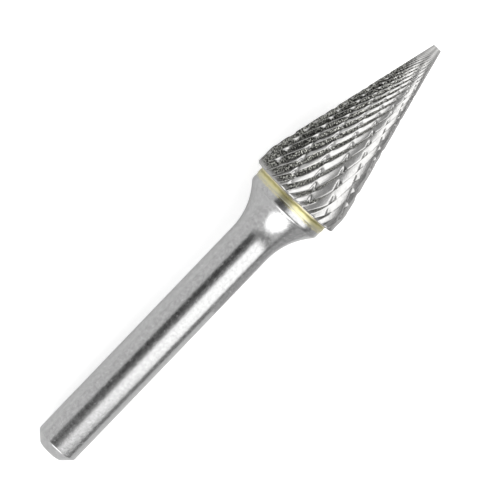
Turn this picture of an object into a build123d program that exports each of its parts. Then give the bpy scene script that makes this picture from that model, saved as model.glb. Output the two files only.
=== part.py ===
from build123d import *
import os
from math import atan2, ceil, cos, degrees, log, pi, radians, sin, sqrt, tan

# Carbide burr, pointed cone shape, double cut, right-hand cutting, on a plain 6 mm shank.
# It is modelled lying on its side on the floor, the way it comes to rest: the chamfered end of
# the shank and one tooth of the head's rim touch the floor, +X runs towards the tip and +Z is up.
# Millimetres and degrees.

# ---- Driving sizes -------------------------------------------------------------------------------

overall_length = 70.0

# Steel shank
shank_diameter = 6.0
shank_end_chamfer = 1.25
flare_radius = 9.0  # concave arc that widens the shank into the neck
neck_diameter = 10.8
neck_length = 1.75  # short land between the flare and the joint

# Brazed joint
braze_thickness = 0.25  # solder between the two end faces
braze_skirt_length = 0.75  # solder drawn over the bevelled end of the neck
braze_skirt_depth = 0.3
braze_proud = 0.05  # how far the solder stands out from the neck
braze_lip_length = 0.24  # solder between its groove and the head
braze_groove_width = 0.24
braze_groove_depth = 0.08

# Tungsten carbide head
head_diameter = 12.7
head_length = 25.6
cone_angle = 28.0
tip_diameter = 1.2
rim_edge_break = 0.15
blend_radius = 10.0  # between the short cylindrical rim and the cone

# Right-hand teeth
tooth_count = 26
tooth_helix_angle = 20.3
tooth_depth_ratio = 0.35  # depth over pitch
face_share = 0.4  # share of the pitch taken by the cutting face, the back takes the rest
land_share = 0.08  # share of the pitch left as a narrow land on the crest
run_out_height = 4.0  # below this height the grinding wheel leaves the head:
run_out_helix_angle = 45.0  # at the end of its path it runs at this steeper angle,
run_out_depth_loss = 0.7  # it has lost this part of its depth,
run_out_face_gain = 0.5  # and the cutting face takes this much more of the pitch
tooth_fade_diameter = 4.4  # the teeth get shallower from here towards the tip
tooth_end_diameter = 2.4  # and end here

# Left-hand chip breakers
breaker_count = 12
breaker_helix_angle = 22.0
breaker_depth_share = 0.7  # depth over the depth of the teeth
breaker_angle = 90.0  # angle between the two sides of the notch
breaker_phase = 12.6  # where the first one would cross the rim, from the top of the head
breaker_rim_gap = 0.8  # they start this far above the rim
breaker_rim_fade = 1.4  # and reach full depth over this height
breaker_fade_diameter = 5.8
breaker_end_diameter = 4.4

# How the cutters are drawn
station_spacing = 2.6  # between the sections of a cutter, along the head
cutter_overrun = 1.0  # how far a cutter runs out below the rim
cutter_clearance = 0.3  # how far a cutter stands out of the blank
wall_overrun = land_share / 2  # the walls of a tooth space run on past the surface by this share

# ---- Sizes that follow ---------------------------------------------------------------------------

shank_radius = shank_diameter / 2
shank_end_radius = shank_radius - shank_end_chamfer
neck_radius = neck_diameter / 2
head_radius = head_diameter / 2
tip_radius = tip_diameter / 2
braze_radius = neck_radius + braze_proud
groove_radius = braze_radius - braze_groove_depth

# The arc of the flare, from its tangent with the shank to the corner of the neck
flare_centre_radius = shank_radius + flare_radius
flare_length = sqrt(flare_radius**2 - (flare_centre_radius - neck_radius) ** 2)
flare_angle = degrees(atan2(flare_length, flare_centre_radius - neck_radius))

# Heights along the tool, from the free end of the shank
head_base = overall_length - head_length
neck_end = head_base - braze_thickness
neck_start = neck_end - neck_length
flare_start = neck_start - flare_length
skirt_start = neck_end - braze_skirt_length
groove_end = head_base - braze_lip_length
groove_start = groove_end - braze_groove_width
groove_bottom = groove_end - braze_groove_width / 2

# Angles of the head, in radians
half_cone = radians(cone_angle / 2)
pitch = 2 * pi / tooth_count
half_land = land_share * pitch / 2

# Heights along the head, from its base
cone_corner = head_length - (head_radius - tip_radius) / tan(half_cone)
blend_start = cone_corner - blend_radius * tan(half_cone / 2)
blend_end = cone_corner + blend_radius * tan(half_cone / 2) * cos(half_cone)

# The tool lies on the corner of the shank's chamfer and on the tooth of the rim that points
# straight down, whose crest slants across the line of contact.
touch_length = head_base + rim_edge_break - shank_end_chamfer
tilt = atan2(head_radius - shank_radius, touch_length)
rest_height = shank_radius * cos(tilt) - shank_end_chamfer * sin(tilt)
rest_x = -(overall_length * cos(tilt) + (tip_radius - shank_end_radius) * sin(tilt)) / 2

tool = Plane(
    origin=(rest_x, 0, rest_height),
    x_dir=(-sin(tilt), 0, cos(tilt)),
    z_dir=(cos(tilt), 0, sin(tilt)),
)
head_plane = tool.offset(head_base)
# Turned profiles are drawn with radius along X and height along the tool along Y.
profile = Plane(origin=tool.origin, x_dir=tool.x_dir, z_dir=tool.x_dir.cross(tool.z_dir))
tool_axis = Axis(tool.origin, tool.z_dir)


def cone_radius(height):
    """Radius of the cone's own line at a height above the head's base."""
    return tip_radius + (head_length - height) * tan(half_cone)


def cone_height(radius):
    """Height above the head's base where the cone has this radius."""
    return head_length - (radius - tip_radius) / tan(half_cone)


def blank_radius(height):
    """Radius of the turned blank: cylindrical rim, blend, cone."""
    if height <= blend_start:
        return head_radius
    if height >= blend_end:
        return cone_radius(height)
    return head_radius - blend_radius + sqrt(blend_radius**2 - (height - blend_start) ** 2)


def helix_turn(height, helix_angle):
    """Angle that a line of constant helix angle has turned through since the rim."""
    rise = tan(radians(helix_angle))
    if height < cone_corner:
        return rise * (height - rim_edge_break) / head_radius
    rim_turn = rise * (cone_corner - rim_edge_break) / head_radius
    return rim_turn + rise / sin(half_cone) * log(head_radius / cone_radius(height))


def polar(radius, angle):
    return (radius * cos(angle), radius * sin(angle))


def stations(first, last):
    """Evenly spaced heights for the sections of a cutter."""
    spans = ceil((last - first) / station_spacing)
    return [first + (last - first) * i / spans for i in range(spans + 1)]


def fade(radius, fade_diameter, end_diameter):
    """0 up to the fade diameter, 1 at the end diameter."""
    return max(0.0, (fade_diameter - 2 * radius) / (fade_diameter - end_diameter)) ** 2


def tooth_depth(height):
    return tooth_depth_ratio * pitch * blank_radius(height)


def run_out(height):
    """0 where the run-out of a tooth space begins, 1 where its cutter ends below the rim."""
    return max(0.0, (run_out_height - height) / (run_out_height + cutter_overrun))


def crest_angle(height):
    """Middle of the first tooth's crest, which points straight down at the rim."""
    steepening = tan(radians(run_out_helix_angle)) - tan(radians(tooth_helix_angle))
    run_out_length = run_out_height + cutter_overrun
    steepened_length = (run_out(rim_edge_break) ** 2 - run_out(height) ** 2) * run_out_length / 2
    run_out_turn = steepening * steepened_length / head_radius
    return pi + helix_turn(height, tooth_helix_angle) + run_out_turn


def tooth_space_outline(height):
    """Section of the space between two teeth: steep cutting face, root, long back."""
    leaving = run_out(height) ** 2
    depth = tooth_depth(height) * (1 - run_out_depth_loss * leaving)
    radius = blank_radius(height)
    surface = radius + depth * fade(radius, tooth_fade_diameter, tooth_end_diameter)
    width = pitch - 2 * half_land
    face_width = width * (face_share + run_out_face_gain * leaving)
    face_crest = crest_angle(height) + half_land
    root = face_crest + face_width
    face_end = face_crest - wall_overrun * face_width
    back_end = face_crest + width + wall_overrun * (width - face_width)
    wall_top = surface + wall_overrun * depth
    outside = surface + cutter_clearance
    return [
        polar(outside, face_end),
        polar(wall_top, face_end),
        polar(surface - depth, root),
        polar(wall_top, back_end),
        polar(outside, back_end),
    ]


def breaker_outline(height):
    """Section of a chip breaker: a V notch that only reaches the upper part of the teeth."""
    radius = blank_radius(height)
    depth = breaker_depth_share * tooth_depth(height)
    rim_lift = max(0.0, (breaker_rim_gap + breaker_rim_fade - height) / breaker_rim_fade) ** 2
    lift = depth * (rim_lift + fade(radius, breaker_fade_diameter, breaker_end_diameter))
    top = radius + lift + cutter_clearance
    half_width = (depth + cutter_clearance) * tan(radians(breaker_angle / 2))
    half_turn = half_width / cos(radians(breaker_helix_angle)) / top
    root = radians(breaker_phase) - helix_turn(height, breaker_helix_angle)
    return [
        polar(top, root - half_turn),
        polar(radius + lift - depth, root),
        polar(top, root + half_turn),
    ]


# ---- Shank: turned and ground steel --------------------------------------------------------------

with BuildPart() as shank:
    with BuildSketch(profile) as shank_profile:
        with BuildLine():
            end_face = Line((0, 0), (shank_radius, 0))
            barrel = Line(end_face @ 1, (shank_radius, flare_start))
            flare = CenterArc((flare_centre_radius, flare_start), flare_radius, 180, -flare_angle)
            land = Line(flare @ 1, (neck_radius, skirt_start))
            bevel = Line(land @ 1, (neck_radius - braze_skirt_depth, neck_end))
            joint_face = Line(bevel @ 1, (0, neck_end))
            Line(joint_face @ 1, end_face @ 0)
        make_face()
        chamfer(shank_profile.vertices().sort_by_distance(end_face @ 1)[0], shank_end_chamfer)
    revolve(axis=tool_axis)

# ---- Brazed joint: a thin disc of solder with a skirt over the end of the neck -------------------

with BuildPart() as braze_joint:
    with BuildSketch(profile):
        with BuildLine():
            seat = Line((0, neck_end), (neck_radius - braze_skirt_depth, neck_end))
            skirt_seat = Line(seat @ 1, (neck_radius, skirt_start))
            skirt = Line(skirt_seat @ 1, (braze_radius, groove_start))
            groove_in = Line(skirt @ 1, (groove_radius, groove_bottom))
            groove_out = Line(groove_in @ 1, (braze_radius, groove_end))
            lip = Line(groove_out @ 1, (braze_radius, head_base))
            head_seat = Line(lip @ 1, (0, head_base))
            Line(head_seat @ 1, seat @ 0)
        make_face()
    revolve(axis=tool_axis)

# ---- Cutters for the head, drawn upright about Z -------------------------------------------------

with BuildPart() as tooth_space_cutter:
    for station in stations(-cutter_overrun, cone_height(tooth_end_diameter / 2)):
        with BuildSketch(Plane.XY.offset(station)):
            with BuildLine():
                Polyline(tooth_space_outline(station), close=True)
            make_face()
    loft()

with BuildPart() as breaker_cutter:
    for station in stations(0, cone_height(breaker_end_diameter / 2)):
        with BuildSketch(Plane.XY.offset(station)):
            with BuildLine():
                Polyline(breaker_outline(station), close=True)
            make_face()
    loft()

# ---- Head: turned blank, right-hand teeth ground in, then left-hand chip breakers ----------------

with BuildPart(head_plane) as cutting_head:
    with BuildSketch(profile):
        with BuildLine():
            base = Line((0, head_base), (head_radius - rim_edge_break, head_base))
            edge_break = Line(base @ 1, (head_radius, head_base + rim_edge_break))
            rim = Line(edge_break @ 1, (head_radius, head_base + blend_start))
            blend_centre = (head_radius - blend_radius, head_base + blend_start)
            blend = CenterArc(blend_centre, blend_radius, 0, cone_angle / 2)
            cone = Line(blend @ 1, (tip_radius, overall_length))
            tip = Line(cone @ 1, (0, overall_length))
            Line(tip @ 1, base @ 0)
        make_face()
    revolve(axis=tool_axis)
    with PolarLocations(0, tooth_count):
        add(tooth_space_cutter.part, mode=Mode.SUBTRACT)
    with PolarLocations(0, breaker_count):
        add(breaker_cutter.part, mode=Mode.SUBTRACT)

# ---- Export --------------------------------------------------------------------------------------

os.makedirs("parts", exist_ok=True)
shank.part.label = "shank"
export_step(shank.part, "parts/shank.step")
braze_joint.part.label = "braze_joint"
export_step(braze_joint.part, "parts/braze_joint.step")
cutting_head.part.label = "cutting_head"
export_step(cutting_head.part, "parts/cutting_head.step")
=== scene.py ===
from math import atan2, cos, log, pi, radians, sin, sqrt, tan

import bmesh
import bpy
from mathutils import Matrix, Vector


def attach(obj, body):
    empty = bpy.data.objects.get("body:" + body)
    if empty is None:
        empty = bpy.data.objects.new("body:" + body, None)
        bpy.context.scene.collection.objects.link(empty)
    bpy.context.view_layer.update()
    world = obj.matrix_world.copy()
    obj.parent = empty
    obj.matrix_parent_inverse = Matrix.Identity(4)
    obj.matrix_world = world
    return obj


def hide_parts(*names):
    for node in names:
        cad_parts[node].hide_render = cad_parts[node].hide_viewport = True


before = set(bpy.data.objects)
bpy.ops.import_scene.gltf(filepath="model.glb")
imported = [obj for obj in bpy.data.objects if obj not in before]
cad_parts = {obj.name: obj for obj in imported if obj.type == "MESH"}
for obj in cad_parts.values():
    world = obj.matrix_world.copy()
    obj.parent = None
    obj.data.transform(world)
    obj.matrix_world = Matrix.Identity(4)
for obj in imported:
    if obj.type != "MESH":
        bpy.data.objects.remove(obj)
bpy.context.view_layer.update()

# Carbide burr lying on its side: ground steel shank, line of solder, pointed tungsten carbide head.
# Pieces are made in millimetres in the tool's own frame, with Z along the tool from the free end
# of the shank, X up and Y to the side, and are then set down in the CAD frame in metres.

MM = 0.001

# ---- Sizes of the tool, in millimetres and radians -------------------------------------------
# They are the CAD's, apart from those marked "here", which are finer than it or differ a little.

overall_length = 70.0

# Steel shank
shank_radius = 3.0
shank_end_chamfer = 1.25
end_rounding = 0.12  # here only: both edges of the chamfer
flare_radius = 9.0  # concave arc that widens the shank into the neck
neck_radius = 5.4
neck_rounding = 0.35  # here only: the corner between the flare and the neck
neck_length = 1.75

# Brazed joint
braze_thickness = 0.25
braze_skirt_length = 0.75
braze_skirt_depth = 0.3
braze_radius = 5.45
braze_lip_length = 0.24
braze_groove_width = 0.24
braze_groove_depth = 0.04  # here shallower

# Tungsten carbide head
head_radius = 6.35
head_length = 25.6
half_cone = radians(14.0)
tip_radius = 0.6
rim_edge_break = 0.15
blend_radius = 10.0  # between the short cylindrical rim and the cone

# Right-hand teeth
tooth_count = 26
tooth_helix = radians(20.3)
tooth_depth_ratio = 0.35  # depth over pitch
face_share = 0.34  # here narrower: share of the pitch taken by the cutting face
land_share = 0.015  # here narrower: share of the pitch left as a land on the crest
run_out_height = 4.0  # below this height the grinding wheel leaves the head
run_out_overrun = 1.0
run_out_helix = radians(45.0)
run_out_depth_loss = 0.7
run_out_face_gain = 0.5
tooth_fade_radius = 2.2  # the teeth get shallower from here towards the tip
tooth_end_radius = 1.2

# Left-hand chip breakers
breaker_count = 12
breaker_helix = radians(22.0)
breaker_depth_share = 0.75  # here deeper: depth over the depth of the teeth
breaker_side_slope = 0.8  # here flatter
breaker_phase = radians(12.6)
breaker_rim_gap = 0.8
breaker_rim_fade = 1.4
breaker_fade_radius = 2.2  # here both are nearer the tip
breaker_end_radius = 1.2

# Sizes that follow
pitch = 2 * pi / tooth_count
head_base = overall_length - head_length
neck_end = head_base - braze_thickness
neck_start = neck_end - neck_length
skirt_start = neck_end - braze_skirt_length
groove_end = head_base - braze_lip_length
groove_start = groove_end - braze_groove_width
flare_centre_radius = shank_radius + flare_radius
flare_length = sqrt(flare_radius**2 - (flare_centre_radius - neck_radius) ** 2)
flare_angle = atan2(flare_length, flare_centre_radius - neck_radius)
flare_start = neck_start - flare_length
cone_corner = head_length - (head_radius - tip_radius) / tan(half_cone)
blend_start = cone_corner - blend_radius * tan(half_cone / 2)
blend_end = cone_corner + blend_radius * tan(half_cone / 2) * cos(half_cone)

# ---- How the tool lies -----------------------------------------------------------------------

tilt = atan2(head_radius - shank_radius, head_base + rim_edge_break - shank_end_chamfer)
rest_height = shank_radius * cos(tilt) - shank_end_chamfer * sin(tilt)
tip_overhang = (tip_radius - shank_radius + shank_end_chamfer) * sin(tilt)
rest_x = -(overall_length * cos(tilt) + tip_overhang) / 2
along = Vector((cos(tilt), 0, sin(tilt)))
upward = Vector((-sin(tilt), 0, cos(tilt)))
sideways = along.cross(upward)
TOOL = (
    Matrix.Translation(Vector((rest_x, 0, rest_height)) * MM)
    @ Matrix((upward, sideways, along)).transposed().to_4x4()
    @ Matrix.Scale(MM, 4)
)


def finish_piece(bm, name, node, material, sharp_angle):
    """Sets a piece made in the tool's frame down in the CAD frame, in place of its CAD node."""
    bmesh.ops.recalc_face_normals(bm, faces=bm.faces)
    bmesh.ops.transform(bm, matrix=TOOL, verts=bm.verts)
    for face in bm.faces:
        face.smooth = True
    mesh = bpy.data.meshes.new(name)
    bm.to_mesh(mesh)
    bm.free()
    mesh.set_sharp_from_angle(angle=radians(sharp_angle))
    mesh.materials.append(material)
    piece = bpy.data.objects.new(name, mesh)
    bpy.context.scene.collection.objects.link(piece)
    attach(piece, "root")
    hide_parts(node)


# ---- Materials: how they are put together ------------------------------------------------------

# The Mix node's colour sockets share their names with its other kinds, so they go by place.
mix_share, mix_first, mix_second, mixed = 0, 6, 7, 2


def srgb(hex_code):
    """Linear colour of an sRGB hex value."""
    levels = [int(hex_code[i : i + 2], 16) / 255 for i in (1, 3, 5)]
    return (*[c / 12.92 if c <= 0.04045 else ((c + 0.055) / 1.055) ** 2.4 for c in levels], 1)


def add(tree, kind, inputs=None, **settings):
    """Adds a node with its settings, and sets or links its inputs."""
    node = tree.nodes.new(kind)
    for name, value in settings.items():
        setattr(node, name, value)
    for name, value in (inputs or {}).items():
        if isinstance(value, bpy.types.NodeSocket):
            tree.links.new(value, node.inputs[name])
        else:
            node.inputs[name].default_value = value
    return node


def new_material(name):
    """An empty material and its tree."""
    material = bpy.data.materials.new(name)
    material.use_nodes = True
    material.node_tree.nodes.clear()
    return material, material.node_tree


def level_with_tool(tree):
    """Object coordinates, turned so that X runs along the tool."""
    place = add(tree, "ShaderNodeTexCoord").outputs["Object"]
    return add(tree, "ShaderNodeMapping", {"Vector": place, "Rotation": (0, tilt, 0)}).outputs[0]


def length_at(height):
    """Where a height along the tool lies on the turned X, in metres."""
    return (rest_x * cos(tilt) + rest_height * sin(tilt) + height) * MM


def wandering_length(tree, turned, noise, creep):
    """Place along the tool, moved to and fro by a noise so that a colour's edge wanders."""
    moved = add(tree, "ShaderNodeMath", {0: noise, 1: creep * MM}, operation="MULTIPLY")
    length = add(tree, "ShaderNodeSeparateXYZ", {0: turned})
    together = {0: length.outputs[0], 1: moved.outputs[0]}
    return add(tree, "ShaderNodeMath", together, operation="ADD").outputs[0]


# ---- Materials: the finishes -------------------------------------------------------------------


# Bright tool steel, cylindrically ground. It shows the room as soft-edged bands along the shank,
# a little broken up by the grinding lines round it and by half-millimetre marks from handling.
# Real grinding lines are finer than 0.05 mm, too fine to show, so they are drawn 0.16 mm apart.
# Next to the joint it has a thin gold film of solder.
def ground_steel():
    line_spacing = 0.16
    line_length = 1.6
    mark_size = 0.5
    film_reach = 1.1
    film_creep = 0.5
    film_edge = 0.3

    material, tree = new_material("ground_shank_steel")
    turned = level_with_tool(tree)
    line_scale = (1 / line_spacing / MM, 1 / line_length / MM, 1 / line_length / MM)
    lines_at = add(tree, "ShaderNodeMapping", {"Vector": turned, "Scale": line_scale}).outputs[0]
    lines = add(tree, "ShaderNodeTexNoise", {"Vector": lines_at, "Scale": 1.0, "Detail": 2.0})
    mottle = add(
        tree,
        "ShaderNodeTexNoise",
        {"Vector": turned, "Scale": 1 / mark_size / MM, "Detail": 4.0, "Roughness": 0.7},
    ).outputs["Fac"]
    worn = add(
        tree, "ShaderNodeMapRange", {"Value": mottle, "From Min": 0.3, "From Max": 0.7}
    ).outputs[0]
    steel = add(
        tree,
        "ShaderNodeMix",
        {mix_share: worn, mix_first: srgb("#A2A2A2"), mix_second: srgb("#BABABA")},
        data_type="RGBA",
    )
    film_start = length_at(neck_end - film_reach + film_creep / 2)
    film = add(
        tree,
        "ShaderNodeMapRange",
        {
            "Value": wandering_length(tree, turned, mottle, film_creep),
            "From Min": film_start,
            "From Max": film_start + film_edge * MM,
        },
    )
    filmed = add(
        tree,
        "ShaderNodeMix",
        {mix_share: film.outputs[0], mix_first: steel.outputs[mixed], mix_second: srgb("#C2BD9C")},
        data_type="RGBA",
    )
    rough = add(tree, "ShaderNodeMapRange", {"Value": worn, "To Min": 0.18, "To Max": 0.28})
    wave = add(tree, "ShaderNodeBump", {"Height": mottle, "Strength": 0.5, "Distance": 0.02 * MM})
    bump = add(
        tree,
        "ShaderNodeBump",
        {
            "Height": lines.outputs["Fac"],
            "Normal": wave.outputs[0],
            "Strength": 0.5,
            "Distance": 0.004 * MM,
        },
    )
    surface = add(
        tree,
        "ShaderNodeBsdfPrincipled",
        {
            "Base Color": filmed.outputs[mixed],
            "Metallic": 1.0,
            "Roughness": rough.outputs[0],
            "Normal": bump.outputs[0],
        },
    )
    add(tree, "ShaderNodeOutputMaterial", {"Surface": surface.outputs[0]})
    return material


# Silver solder, as it flowed. It is pale gold, duller than the steel and slightly uneven: greyish
# where it wets the neck and gold in the middle. Its darker olive band over the groove is painted
# shade, and its pale rosy edge against the head is a painted highlight.
def silver_solder():
    wave_size = 0.7
    band_creep = 0.25
    band_length = 1.0
    # The pale rosy head side is a painted highlight of the head's edge.
    neck_side, head_side = "#B2B2AC", "#D6CCC0"
    # Colours between the two sides, by their share of the way; the olive at 0.6 and 0.72 is painted
    # shade in the groove
    between = {0.16: "#C6C1A0", 0.42: "#C4BE94", 0.6: "#A59E6C", 0.72: "#AAA375", 0.86: "#CBC59E"}

    material, tree = new_material("silver_solder")
    turned = level_with_tool(tree)
    flow = add(
        tree,
        "ShaderNodeTexNoise",
        {"Vector": turned, "Scale": 1 / wave_size / MM, "Detail": 3.0, "Roughness": 0.6},
    ).outputs["Fac"]
    start = length_at(head_base - band_length + band_creep / 2)
    share = add(
        tree,
        "ShaderNodeMapRange",
        {
            "Value": wandering_length(tree, turned, flow, band_creep),
            "From Min": start,
            "From Max": start + band_length * MM,
        },
    )
    bands = add(tree, "ShaderNodeValToRGB", {0: share.outputs[0]})
    bands.color_ramp.elements[0].color = srgb(neck_side)
    bands.color_ramp.elements[1].color = srgb(head_side)
    for position, colour in between.items():
        bands.color_ramp.elements.new(position).color = srgb(colour)
    bump = add(tree, "ShaderNodeBump", {"Height": flow, "Strength": 0.6, "Distance": 0.04 * MM})
    surface = add(
        tree,
        "ShaderNodeBsdfPrincipled",
        {
            "Base Color": bands.outputs[0],
            "Metallic": 1.0,
            "Roughness": 0.36,
            "Normal": bump.outputs[0],
        },
    )
    add(tree, "ShaderNodeOutputMaterial", {"Surface": surface.outputs[0]})
    return material


def wheel_dashes(tree):
    """Short dashes on a tooth's own map, which is in millimetres across and along the tooth."""
    dash_across, dash_along = 0.24, 0.14
    dash_slant = 0.6
    unrolled = add(tree, "ShaderNodeUVMap", uv_map="tooth").outputs[0]
    across, run = add(tree, "ShaderNodeSeparateXYZ", {0: unrolled}).outputs[:2]
    slant = add(tree, "ShaderNodeMath", {0: across, 1: dash_slant}, operation="MULTIPLY")
    slanted_run = add(tree, "ShaderNodeMath", {0: run, 1: slant.outputs[0]}, operation="ADD")
    slanted = add(tree, "ShaderNodeCombineXYZ", {"X": across, "Y": slanted_run.outputs[0]})
    steps = add(
        tree,
        "ShaderNodeMapping",
        {"Vector": slanted.outputs[0], "Scale": (1 / dash_across, 1 / dash_along, 1)},
    )
    dashes = add(
        tree,
        "ShaderNodeTexNoise",
        {"Vector": steps.outputs[0], "Scale": 1.0, "Detail": 1.0, "Roughness": 0.4},
        noise_dimensions="2D",
    )
    spread = {"Value": dashes.outputs["Fac"], "From Min": 0.46, "From Max": 0.66}
    return add(tree, "ShaderNodeMapRange", spread).outputs[0]


# Tungsten carbide, ground with a diamond wheel. The backs of the teeth are fine and mirror the
# room in grey. The cutting faces are painted dark: partly painted shade for the deep gullets
# between the teeth, partly their rougher grinding. Short bright dashes run across them, where the
# wheel's grit has cut. Real dashes are finer than 0.05 mm, too fine to show, so they are drawn
# 0.24 by 0.14 mm. The last of the tip is dull.
def ground_carbide():
    patch_size = 0.7
    dull_from, dull_to = 4.0, 1.5  # from the end of the tip

    material, tree = new_material("ground_tungsten_carbide")
    place = add(tree, "ShaderNodeTexCoord").outputs["Object"]
    patches = add(
        tree,
        "ShaderNodeTexNoise",
        {"Vector": place, "Scale": 1 / patch_size / MM, "Detail": 4.0, "Roughness": 0.65},
    )
    back = add(
        tree,
        "ShaderNodeMix",
        {mix_share: patches.outputs["Fac"], mix_first: srgb("#8F8F8F"), mix_second: srgb("#BBBAB8")},
        data_type="RGBA",
    )

    face = add(tree, "ShaderNodeAttribute", attribute_name="cutting_face").outputs["Fac"]
    ground = add(tree, "ShaderNodeAttribute", attribute_name="wheel_marks").outputs["Fac"]
    marked = add(tree, "ShaderNodeMath", {0: wheel_dashes(tree), 1: ground}, operation="MULTIPLY")
    # Painted shade: the cutting faces are dark for the deep gullets as well as for their grinding,
    # with the wheel's bright dashes on top.
    shaded_face_with_dashes = add(
        tree,
        "ShaderNodeMix",
        {mix_share: marked.outputs[0], mix_first: srgb("#2C2C2A"), mix_second: srgb("#ACACA6")},
        data_type="RGBA",
    )
    # The painted shade of the cutting faces fades with the wheel marks: at the rim, at the tip and
    # in the chip breakers.
    face_here = add(tree, "ShaderNodeMath", {0: face, 1: ground}, operation="MULTIPLY")
    tint = add(
        tree,
        "ShaderNodeMix",
        {
            mix_share: face_here.outputs[0],
            mix_first: back.outputs[mixed],
            mix_second: shaded_face_with_dashes.outputs[mixed],
        },
        data_type="RGBA",
    )
    # The dashes stand out on the cutting faces, and only faintly on the backs.
    dash_depth = add(tree, "ShaderNodeMapRange", {"Value": face, "To Min": 0.15, "To Max": 1.0})
    ridges = add(
        tree,
        "ShaderNodeMath",
        {0: marked.outputs[0], 1: dash_depth.outputs[0]},
        operation="MULTIPLY",
    )
    bump = add(
        tree,
        "ShaderNodeBump",
        {"Height": ridges.outputs[0], "Strength": 0.5, "Distance": 0.02 * MM},
    )

    length = add(tree, "ShaderNodeSeparateXYZ", {0: level_with_tool(tree)})
    rough = add(
        tree,
        "ShaderNodeMapRange",
        {
            "Value": length.outputs[0],
            "From Min": length_at(overall_length - dull_from),
            "From Max": length_at(overall_length - dull_to),
            "To Min": 0.26,
            "To Max": 0.5,
        },
    )
    surface = add(
        tree,
        "ShaderNodeBsdfPrincipled",
        {
            "Base Color": tint.outputs[mixed],
            "Metallic": 1.0,
            "Roughness": rough.outputs[0],
            "Normal": bump.outputs[0],
        },
    )
    add(tree, "ShaderNodeOutputMaterial", {"Surface": surface.outputs[0]})
    return material


# ---- Turned pieces: an outline of radius and height, spun about the tool's axis ----------------

flare_steps = 40
turning_steps = 160
turned_sharp_angle = 30
rounding_segments = 5
weld_distance = 0.0005


def line_to(bm, corner, radius, height):
    """Draws the outline on from its last corner."""
    drawn = bmesh.ops.extrude_vert_indiv(bm, verts=[corner])["verts"][0]
    drawn.co = (radius, 0, height)
    return drawn


def round_corners(bm, corners, offset):
    """Rounds corners of an outline."""
    bmesh.ops.bevel(
        bm,
        geom=corners,
        offset=offset,
        segments=rounding_segments,
        profile=0.5,
        affect="VERTICES",
        material=-1,
    )


def turn(bm):
    """Turns the outline, which begins and ends on the axis, into a closed solid."""
    bmesh.ops.spin(
        bm,
        geom=bm.verts[:] + bm.edges[:],
        cent=(0, 0, 0),
        axis=(0, 0, 1),
        angle=2 * pi,
        steps=turning_steps,
        use_merge=True,
    )
    bmesh.ops.remove_doubles(bm, verts=bm.verts, dist=weld_distance)


def make_shank(steel):
    """Plain shank, chamfered at its free end, flared out to the neck and bevelled at the joint."""
    bm = bmesh.new()
    centre = bm.verts.new((0, 0, 0))
    end_edge = line_to(bm, centre, shank_radius - shank_end_chamfer, 0)
    chamfer_edge = line_to(bm, end_edge, shank_radius, shank_end_chamfer)
    tangent = line_to(bm, chamfer_edge, shank_radius, flare_start)
    flare = bmesh.ops.spin(
        bm,
        geom=[tangent],
        cent=(flare_centre_radius, 0, flare_start),
        axis=(0, 1, 0),
        angle=flare_angle,
        steps=flare_steps,
    )
    neck_corner = next(v for v in flare["geom_last"] if isinstance(v, bmesh.types.BMVert))
    bevel_edge = line_to(bm, neck_corner, neck_radius, skirt_start)
    joint_edge = line_to(bm, bevel_edge, neck_radius - braze_skirt_depth, neck_end)
    line_to(bm, joint_edge, 0, neck_end)
    round_corners(bm, [end_edge, chamfer_edge], end_rounding)
    round_corners(bm, [neck_corner], neck_rounding)
    turn(bm)
    finish_piece(bm, "ground_shank", "shank", steel, turned_sharp_angle)


def make_braze(solder):
    """Solder between the end faces and over the bevel of the neck, with a groove and a lip."""
    skirt_step = 0.05
    bm = bmesh.new()
    centre = bm.verts.new((0, 0, neck_end))
    inner = line_to(bm, centre, neck_radius - braze_skirt_depth, neck_end)
    skirt = line_to(bm, inner, neck_radius, skirt_start)
    step = line_to(bm, skirt, braze_radius, skirt_start + skirt_step)
    groove_in = line_to(bm, step, braze_radius, groove_start)
    groove_height = groove_end - braze_groove_width / 2
    groove = line_to(bm, groove_in, braze_radius - braze_groove_depth, groove_height)
    groove_out = line_to(bm, groove, braze_radius, groove_end)
    lip = line_to(bm, groove_out, braze_radius, head_base)
    line_to(bm, lip, 0, head_base)
    turn(bm)
    finish_piece(bm, "solder_line", "braze_joint", solder, turned_sharp_angle)


# ---- Head: a ring drawn up the tool, each point moved in to where the wheels leave it ----------

# Points of a ring on each tooth
land_points = 1
face_points = 4
back_points = 6
points_per_tooth = land_points + face_points + back_points

ring_step = 0.1
head_sharp_angle = 70
tooth_map_spacing = 9.0  # moves each tooth's map on, so that no two teeth have the same dashes
marks_start = 0.2  # the wheel marks begin this far above the base,
marks_rise = 0.6  # reach their full strength over this height
marks_end = 2.5  # and fade out over this length at the tip
marks_in_notch = 0.4  # in a chip breaker they keep at least this share,
notch_marks_depth = 0.1  # and they would end at this depth without it


def blank_radius(height):
    """Radius of the turned blank at a height above the base of the head."""
    if height < rim_edge_break:
        return head_radius - rim_edge_break + height
    if height <= blend_start:
        return head_radius
    if height >= blend_end:
        return tip_radius + (head_length - height) * tan(half_cone)
    return head_radius - blend_radius + sqrt(blend_radius**2 - (height - blend_start) ** 2)


def helix_turn(height, helix):
    """Angle that a line of constant helix has turned through since the rim."""
    rise = tan(helix)
    if height < cone_corner:
        return rise * (height - rim_edge_break) / head_radius
    radius = tip_radius + (head_length - height) * tan(half_cone)
    rim_turn = rise * (cone_corner - rim_edge_break) / head_radius
    return rim_turn + rise / sin(half_cone) * log(head_radius / radius)


def fade(radius, fade_radius, end_radius):
    """0 outside the fade radius, 1 from the end radius to the tip."""
    return min(1.0, max(0.0, (fade_radius - radius) / (fade_radius - end_radius)) ** 2)


def run_out(height):
    """0 where the wheel starts to leave the head, 1 where it has left it, below the rim."""
    return max(0.0, (run_out_height - height) / (run_out_height + run_out_overrun))


def crest_angle(height):
    """Middle of the first tooth's crest, which points straight down at the rim."""
    length = run_out_height + run_out_overrun
    steepened = (run_out(rim_edge_break) ** 2 - run_out(height) ** 2) * length / 2
    steepening = tan(run_out_helix) - tan(tooth_helix)
    return pi + helix_turn(height, tooth_helix) + steepening * steepened / head_radius


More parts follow.
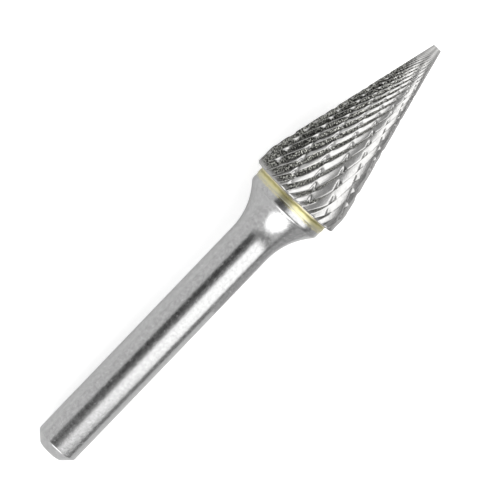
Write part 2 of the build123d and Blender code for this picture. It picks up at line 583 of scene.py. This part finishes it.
def tooth_point(place, height):
    """Angle and radius of one point of a ring, and its distance across its tooth."""
    tooth, point = divmod(place, points_per_tooth)
    radius = blank_radius(height)
    leaving = run_out(height) ** 2
    depth = tooth_depth_ratio * pitch * radius * (1 - run_out_depth_loss * leaving)
    depth *= 1 - fade(radius, tooth_fade_radius, tooth_end_radius)
    land = land_share * pitch
    face = (pitch - land) * (face_share + run_out_face_gain * leaving)
    back = pitch - land - face
    if point < land_points:
        within, sink = land * point / land_points, 0.0
    elif point < land_points + face_points:
        share = (point - land_points) / face_points
        within, sink = land + face * share, share
    else:
        share = (point - land_points - face_points) / back_points
        within, sink = land + face + back * share, 1 - share
    angle = crest_angle(height) - land / 2 + tooth * pitch + within
    return angle, radius - depth * sink, within * radius


def breaker_radius(angle, height):
    """Radius that the nearest left-hand chip breaker leaves at an angle."""
    radius = blank_radius(height)
    depth = breaker_depth_share * tooth_depth_ratio * pitch * radius
    rim_lift = max(0.0, (breaker_rim_gap + breaker_rim_fade - height) / breaker_rim_fade) ** 2
    lift = depth * (rim_lift + fade(radius, breaker_fade_radius, breaker_end_radius))
    spacing = 2 * pi / breaker_count
    away = (angle - breaker_phase + helix_turn(height, breaker_helix)) % spacing
    away = min(away, spacing - away) * radius * cos(breaker_helix)
    return radius + lift - depth + away * breaker_side_slope


def marks_at(height, notch_depth):
    """How strongly the wheel's marks show, from 0 to 1."""
    rising = max(0.0, (height - marks_start) / marks_rise)
    marks = min(1.0, rising, (head_length - height) / marks_end)
    if notch_depth > 0:
        marks *= max(marks_in_notch, 1 - notch_depth / notch_marks_depth)
    return marks


def ring_heights():
    """Heights of the rings above the base of the head."""
    heights = [0.0, rim_edge_break]
    while heights[-1] < head_length - ring_step:
        heights.append(heights[-1] + ring_step)
    heights[-1] = head_length
    return heights


def draw_rings(bm, place_of, wheel_marks):
    """Draws the rings up the head, and gives each point's place on its tooth's map."""
    ring = bmesh.ops.create_circle(bm, segments=tooth_count * points_per_tooth, radius=head_radius)
    ring = ring["verts"]
    for place, corner in enumerate(ring):
        corner[place_of] = place
    edges = bm.edges[:]
    on_map = {}
    for level, height in enumerate(ring_heights()):
        if level:
            drawn = bmesh.ops.extrude_edge_only(bm, edges=edges)["geom"]
            ring = [v for v in drawn if isinstance(v, bmesh.types.BMVert)]
            fresh = set(ring)
            drawn_edges = [e for e in drawn if isinstance(e, bmesh.types.BMEdge)]
            edges = [e for e in drawn_edges if fresh.issuperset(e.verts)]
        for corner in ring:
            angle, radius, across = tooth_point(corner[place_of], height)
            notched = min(radius, breaker_radius(angle, height))
            corner[wheel_marks] = marks_at(height, radius - notched)
            corner.co = (notched * cos(angle), notched * sin(angle), head_base + height)
            on_map[corner] = (across, height / cos(tooth_helix))
    return on_map


def mark_faces(bm, place_of, cutting_face, tooth_map, on_map):
    """Marks the cutting faces, and lays each tooth out on its map in millimetres."""
    face_end = land_points + face_points
    for face in bm.faces:
        points = [corner[place_of] % points_per_tooth for corner in face.verts]
        low, high = min(points), max(points)
        crosses_teeth = high - low > 1
        face[cutting_face] = float(not crosses_teeth and land_points <= low < face_end)
        tooth = face.verts[points.index(high)][place_of] // points_per_tooth
        for loop, point in zip(face.loops, points):
            across, run = on_map[loop.vert]
            if crosses_teeth and point == 0:
                across += pitch * blank_radius(loop.vert.co.z - head_base)
            loop[tooth_map].uv = (across + tooth * tooth_map_spacing, run)


def make_head(carbide):
    """Pointed cone with right-hand teeth, crossed by left-hand chip breakers."""
    bm = bmesh.new()
    place_of = bm.verts.layers.int.new("place")
    cutting_face = bm.faces.layers.float.new("cutting_face")
    wheel_marks = bm.verts.layers.float.new("wheel_marks")
    tooth_map = bm.loops.layers.uv.new("tooth")
    on_map = draw_rings(bm, place_of, wheel_marks)
    mark_faces(bm, place_of, cutting_face, tooth_map, on_map)
    bmesh.ops.holes_fill(bm, edges=bm.edges, sides=0)
    finish_piece(bm, "toothed_head", "cutting_head", carbide, head_sharp_angle)


make_shank(ground_steel())
make_braze(silver_solder())
make_head(ground_carbide())

# ---- Camera ------------------------------------------------------------------------------------

# The camera looks down on the tool, a little from the side so that the line of sight passes
# between two teeth of the rim. Across its picture, the tool runs from lower left to upper right.
view_roll = -pitch / 2
axis_on_screen = radians(46.12)
lens = 200.0
sensor = 36.0
frame_width = 62.46 * MM
middle_height = overall_length / 2
aim_right = 0.95 * MM  # from the middle of the tool to the middle of the picture
aim_up = 0.115 * MM

lean = Matrix.Rotation(view_roll, 3, along)
towards_camera = lean @ Vector((0, 0, 1))
ahead = (along - towards_camera * along.dot(towards_camera)).normalized()
aside = ahead.cross(towards_camera)
screen_right = ahead * cos(axis_on_screen) + aside * sin(axis_on_screen)
screen_up = ahead * sin(axis_on_screen) - aside * cos(axis_on_screen)


def on_axis(height):
    """Place on the tool's axis, in metres."""
    return TOOL @ Vector((0, 0, height))


def make_camera():
    """A long lens, so far off that its picture is frame_width wide at the tool."""
    data = bpy.data.cameras.new("camera")
    data.lens = lens
    data.sensor_width = sensor
    data.clip_end = 10.0
    camera = bpy.data.objects.new("camera", data)
    bpy.context.scene.collection.objects.link(camera)
    bpy.context.scene.camera = camera
    aim_point = on_axis(middle_height) + screen_right * aim_right + screen_up * aim_up
    place = aim_point + towards_camera * frame_width * lens / sensor
    turned = Matrix((screen_right, screen_up, towards_camera)).transposed().to_4x4()
    camera.matrix_world = Matrix.Translation(place) @ turned


make_camera()

# ---- Lamps and cards -----------------------------------------------------------------------------

# Lamps and cards stand round the tool at angles seen from it, in degrees: round_axis goes from
# the camera towards the lower right of its picture, and towards_tip from there to the tip.
# The cards are for the metal alone: bright metal needs darker surroundings to show its form.
upward_of_view = aside.cross(along)
lamp_distance = 0.6
lamp_watts = 4.0  # per square metre of a rectangular lamp, for a level of 1
card_distance = 0.5


def direction(round_axis, towards_tip):
    """Direction from the tool, from its two angles."""
    a, b = radians(round_axis), radians(towards_tip)
    return (upward_of_view * cos(a) + aside * sin(a)) * cos(b) + along * sin(b)


def facing(round_axis, towards_tip, distance, beside):
    """Place and turn of a panel that faces the tool at a height, with its length along it."""
    back = direction(round_axis, towards_tip)
    across = back.cross(along).normalized()
    lengthwise = across.cross(back)
    place = on_axis(beside) + back * distance
    turned = Matrix((lengthwise, across, back)).transposed().to_4x4()
    return Matrix.Translation(place) @ turned


def span(angle, distance):
    """Half the size of a panel that spans an angle at a distance."""
    return distance * tan(radians(angle / 2))


def softbox(name, round_axis, towards_tip, span_round, span_along, level, shape="RECTANGLE"):
    """A soft lamp. A rectangular one adds its level to the room's brightness in the metal."""
    data = bpy.data.lights.new(name, "AREA")
    data.shape = shape
    data.size = 2 * span(span_along, lamp_distance)
    data.size_y = 2 * span(span_round, lamp_distance)
    data.energy = level * lamp_watts * data.size * data.size_y
    lamp = bpy.data.objects.new(name, data)
    bpy.context.scene.collection.objects.link(lamp)
    lamp.matrix_world = facing(round_axis, towards_tip, lamp_distance, middle_height)
    lamp.visible_camera = False


def hang_card(
    name,
    round_axis,
    towards_tip,
    span_round,
    span_along,
    shade,
    distance=card_distance,
    beside=middle_height,
):
    """A card that only the metal sees."""
    bm = bmesh.new()
    bmesh.ops.create_grid(bm, x_segments=1, y_segments=1, size=1)
    size = Vector((span(span_along, distance), span(span_round, distance), 1))
    bmesh.ops.scale(bm, vec=size, verts=bm.verts)
    place = facing(round_axis, towards_tip, distance, beside)
    bmesh.ops.transform(bm, matrix=place, verts=bm.verts)
    mesh = bpy.data.meshes.new(name)
    bm.to_mesh(mesh)
    bm.free()
    material, tree = new_material(name + "_card")
    glow = add(tree, "ShaderNodeEmission", {"Color": srgb(shade), "Strength": 1.0})
    add(tree, "ShaderNodeOutputMaterial", {"Surface": glow.outputs[0]})
    mesh.materials.append(material)
    card = bpy.data.objects.new(name, mesh)
    bpy.context.scene.collection.objects.link(card)
    card.visible_camera = False
    card.visible_diffuse = False
    card.visible_shadow = False


# Bright band along the shank, bright flanks of the head, and the spot in the flare
softbox("strip_light", 48, 4, span_round=62, span_along=46, level=1.12)
softbox("lower_head_light", 34, 46, span_round=37, span_along=40, level=1.4)
softbox("upper_head_light", -66, 44, span_round=48, span_along=44, level=1.45)
softbox("end_light", 28, -62, span_round=53, span_along=38, level=1.6, shape="ELLIPSE")
# Dark line along the shank, with a grey edge
hang_card("dark_card", -17, 1, span_round=26.5, span_along=42, shade="#4A4A4A")
hang_card("grey_card", 3, 1, span_round=14, span_along=42, shade="#909090")
# Greys of the head's cone, the flare and the head's lower edge
hang_card("head_card", -12, 48, span_round=30, span_along=52, shade="#BEBEBE", distance=0.49)
hang_card("flare_card", 25, -29, span_round=110, span_along=18, shade="#A8A8A8", distance=0.48)
hang_card("side_card", 84, 33, span_round=40, span_along=46, shade="#A4A4A4", distance=0.47)
# Low cards close to the tool, for the lower edge of the shank and of the flare
hang_card(
    "low_card", 91, 0, span_round=26, span_along=130, shade="#9A9A9A", distance=0.03, beside=-18.0
)
hang_card(
    "low_flare_card",
    112,
    -20,
    span_round=48,
    span_along=80,
    shade="#D2D2D2",
    distance=0.012,
    beside=40.0,
)

# ---- Floor and room ------------------------------------------------------------------------------

floor_half_width = 2.0
floor_lift = 0.45  # added for the camera alone, so that the paper is white and keeps its shadow
room_level = 0.5  # what the room gives matt surfaces; the camera and the metal see it white


def make_floor():
    """White paper, matt."""
    bm = bmesh.new()
    bmesh.ops.create_grid(bm, x_segments=1, y_segments=1, size=floor_half_width)
    mesh = bpy.data.meshes.new("floor")
    bm.to_mesh(mesh)
    bm.free()
    material, tree = new_material("white_paper_floor")
    seen = add(tree, "ShaderNodeLightPath").outputs["Is Camera Ray"]
    paper = add(tree, "ShaderNodeBsdfDiffuse", {"Color": srgb("#F6F6F6")})
    lift = add(tree, "ShaderNodeMath", {0: seen, 1: floor_lift}, operation="MULTIPLY")
    glow = add(tree, "ShaderNodeEmission", {"Color": (1, 1, 1, 1), "Strength": lift.outputs[0]})
    both = add(tree, "ShaderNodeAddShader", {0: paper.outputs[0], 1: glow.outputs[0]})
    add(tree, "ShaderNodeOutputMaterial", {"Surface": both.outputs[0]})
    mesh.materials.append(material)
    floor = bpy.data.objects.new("floor", mesh)
    bpy.context.scene.collection.objects.link(floor)


def make_room():
    """A white room, which lights matt surfaces less than it shows."""
    world = bpy.data.worlds.new("studio")
    bpy.context.scene.world = world
    world.use_nodes = True
    tree = world.node_tree
    tree.nodes.clear()
    path = add(tree, "ShaderNodeLightPath").outputs
    seen = add(
        tree,
        "ShaderNodeMath",
        {0: path["Is Camera Ray"], 1: path["Is Glossy Ray"]},
        operation="MAXIMUM",
    )
    level = add(
        tree, "ShaderNodeMapRange", {"Value": seen.outputs[0], "To Min": room_level, "To Max": 1.0}
    )
    sky = add(tree, "ShaderNodeBackground", {"Color": (1, 1, 1, 1), "Strength": level.outputs[0]})
    add(tree, "ShaderNodeOutputWorld", {"Surface": sky.outputs[0]})


make_floor()
make_room()
bpy.context.scene.view_settings.view_transform = "Standard"
